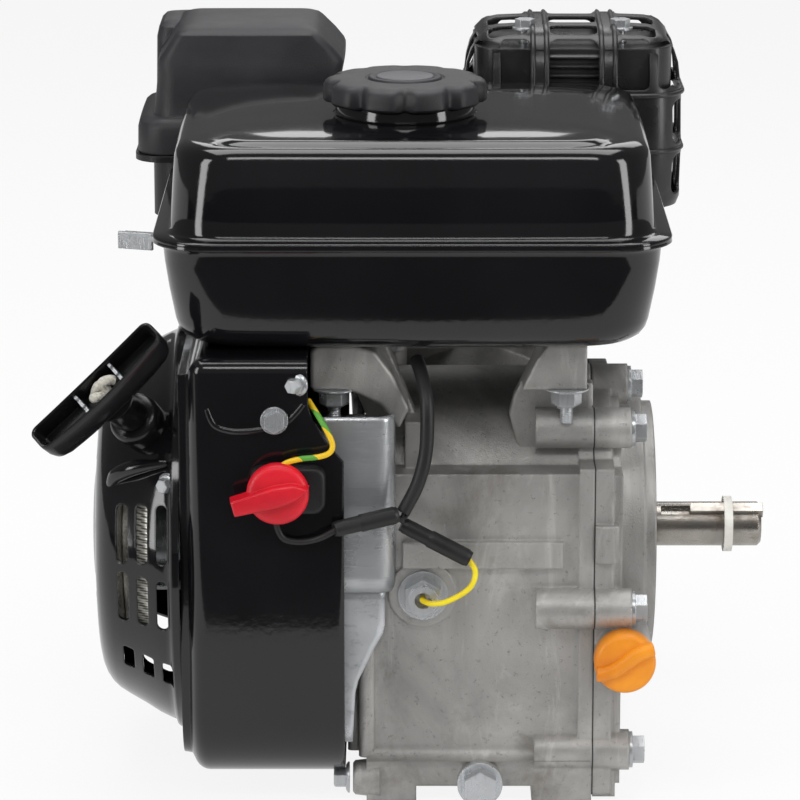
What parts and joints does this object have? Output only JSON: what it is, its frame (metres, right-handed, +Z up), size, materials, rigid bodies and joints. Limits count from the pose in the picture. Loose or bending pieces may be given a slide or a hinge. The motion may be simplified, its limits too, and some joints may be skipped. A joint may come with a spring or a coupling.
{
  "type": "small gasoline engine",
  "caption": "Air-cooled horizontal-shaft petrol engine with inclined cylinder, rope starter, top fuel tank, air cleaner and guarded muffler, for driving pumps, generators and garden machines.",
  "frame": {"origin": "on the crankshaft axis at the drive-end face of the crankcase cover", "axes": "+X out along the output shaft, +Y towards the cylinder head, +Z up; the mounting base is level with X and Y"},
  "size_m": [0.3248, 0.3224, 0.3161],
  "materials": {
    "cast_aluminium": "as-cast, slightly rough",
    "machined_steel": "ground and turned",
    "cast_iron_dark": "machined cast iron",
    "zinc_steel": "zinc plated",
    "black_gloss_paint": "glossy black paint",
    "black_heat_paint": "satin heat-proof black paint",
    "black_plastic": "satin moulded plastic",
    "grey_plastic": "matte dark grey moulded plastic",
    "black_gloss_plastic": "glossy moulded plastic",
    "orange_plastic": "moulded plastic",
    "red_plastic": "moulded plastic",
    "black_rubber": "smooth rubber",
    "gasket_fibre": "pressed fibre and moulded insulator",
    "rope_fibre": "braided pale cord",
    "elastic_white": "pale elastic band",
    "yellow_cover": "wire insulation",
    "green_yellow_cover": "wire insulation"
  },
  "bodies": {
    "engine": {"crankcase": "cast_aluminium", "cylinder_sleeve": "cast_iron_dark", "gaskets": "gasket_fibre", "crankcase_cover": "cast_aluminium", "m8_bolts": "zinc_steel", "oil_seals": "black_rubber", "main_bearings": "machined_steel", "oil_plugs": "zinc_steel", "oil_level_sensor": "zinc_steel", "connecting_rod": "cast_aluminium", "piston": "cast_aluminium", "piston_rings": "cast_iron_dark", "piston_pin": "machined_steel", "push_rods": "machined_steel", "cylinder_head": "cast_aluminium", "valves": "machined_steel", "rocker_arms": "machined_steel", "rocker_cover": "black_gloss_paint", "spark_plug": "zinc_steel", "plug_lead": "black_rubber", "ignition_coil": "black_plastic", "fan_cover": "black_gloss_paint", "m6_bolts": "zinc_steel", "recoil_housing": "black_gloss_paint", "side_baffle": "zinc_steel", "fuel_tank_upper": "black_gloss_paint", "fuel_tank_lower": "black_gloss_paint", "tank_studs": "zinc_steel", "fuel_hose": "black_rubber", "carburettor": "cast_aluminium", "control_bracket": "zinc_steel", "air_cleaner_base": "black_plastic", "air_cleaner_cover": "grey_plastic", "muffler": "black_heat_paint", "muffler_guard": "black_heat_paint", "switch_body": "black_plastic", "ground_wire": "green_yellow_cover", "sensor_wire": "yellow_cover", "stop_wire": "black_rubber"},
    "crank": {"crankshaft": "machined_steel", "crank_gear": "machined_steel", "shaft_key": "machined_steel", "key_band": "elastic_white", "flywheel": "cast_iron_dark", "cooling_fan": "black_plastic", "starter_cup": "zinc_steel", "flywheel_nut": "zinc_steel"},
    "cam": {"camshaft": "cast_iron_dark"},
    "governor": {"governor_gear": "black_plastic"},
    "reel": {"recoil_reel": "black_plastic", "starter_rope": "rope_fibre"},
    "handle": {"starter_handle": "black_gloss_plastic"},
    "dipstick_body": {"dipstick": "orange_plastic"},
    "cap_body": {"fuel_cap": "grey_plastic"},
    "switch_knob": {"stop_knob": "red_plastic"},
    "speed_lever": {"throttle_lever": "zinc_steel"},
    "governor_lever": {"governor_arm": "zinc_steel"},
    "throttle": {"throttle_shaft": "zinc_steel"},
    "choke": {"choke_lever": "black_plastic"},
    "fuel_valve": {"fuel_valve_lever": "red_plastic"}
  },
  "joints": [
    {"name": "crankshaft_spin", "type": "hinge", "parent": "engine", "child": "crank", "pos_m": [0, 0, 0], "axis": [1, 0, 0], "continuous": true, "deforming": ["connecting_rod"]},
    {"name": "camshaft_spin", "type": "hinge", "parent": "engine", "child": "cam", "pos_m": [-0.05, 0.05366, -0.02683], "axis": [1, 0, 0], "continuous": true, "deforming": ["push_rods"]},
    {"name": "governor_spin", "type": "hinge", "parent": "engine", "child": "governor", "pos_m": [-0.035, -0.02456, -0.02494], "axis": [1, 0, 0], "continuous": true},
    {"name": "recoil_reel_turn", "type": "hinge", "parent": "engine", "child": "reel", "pos_m": [-0.236, 0, 0], "axis": [1, 0, 0], "range_deg": [0, 1158], "stiffness_Nm_per_rad": 0.02, "springref_deg": -859.44},
    {"name": "starter_pull", "type": "slide", "parent": "engine", "child": "handle", "axis": [-0.35, -0.76, 0.5477], "range_m": [0, 0.85]},
    {"name": "dipstick_turn", "type": "hinge", "parent": "engine", "child": "dipstick_body", "pos_m": [-0.0152, -0.087, -0.0374], "axis": [0, -1, 0], "range_deg": [0, 360]},
    {"name": "fuel_cap_turn", "type": "hinge", "parent": "engine", "child": "cap_body", "pos_m": [-0.111, -0.012, 0.19], "axis": [0, 0, 1], "range_deg": [0, 90]},
    {"name": "stop_switch_turn", "type": "hinge", "parent": "engine", "child": "switch_knob", "pos_m": [-0.1655, -0.101, 0.043], "axis": [0, -1, 0], "range_deg": [0, 50]},
    {"name": "throttle_lever_swing", "type": "hinge", "parent": "engine", "child": "speed_lever", "pos_m": [-0.196, 0.074, 0.1136], "axis": [0, 0, 1], "range_deg": [0, 40]},
    {"name": "governor_arm_swing", "type": "hinge", "parent": "engine", "child": "governor_lever", "pos_m": [-0.118, 0.025, 0.105], "axis": [0, 0, 1], "range_deg": [-8, 8]},
    {"name": "throttle_shaft_turn", "type": "hinge", "parent": "engine", "child": "throttle", "pos_m": [-0.142, 0.1387, 0.1], "axis": [0, 0, 1], "range_deg": [-30, 30]},
    {"name": "choke_turn", "type": "hinge", "parent": "engine", "child": "choke", "pos_m": [-0.179, 0.1387, 0.1], "axis": [0, 0, -1], "range_deg": [0, 70]},
    {"name": "fuel_valve_turn", "type": "hinge", "parent": "engine", "child": "fuel_valve", "pos_m": [-0.173, 0.1587, 0.06171], "axis": [0, -1, 0], "range_deg": [0, 90]}
  ],
  "couplings": [
    {"joint": "camshaft_spin", "follows": "crankshaft_spin", "ratio": -0.5},
    {"joint": "governor_spin", "follows": "crankshaft_spin", "ratio": -1.3333},
    {"joint": "starter_pull", "follows": "recoil_reel_turn", "m_per_rad": 0.042},
    {"joint": "throttle_shaft_turn", "follows": "governor_arm_swing", "ratio": -3.1049}
  ]
}
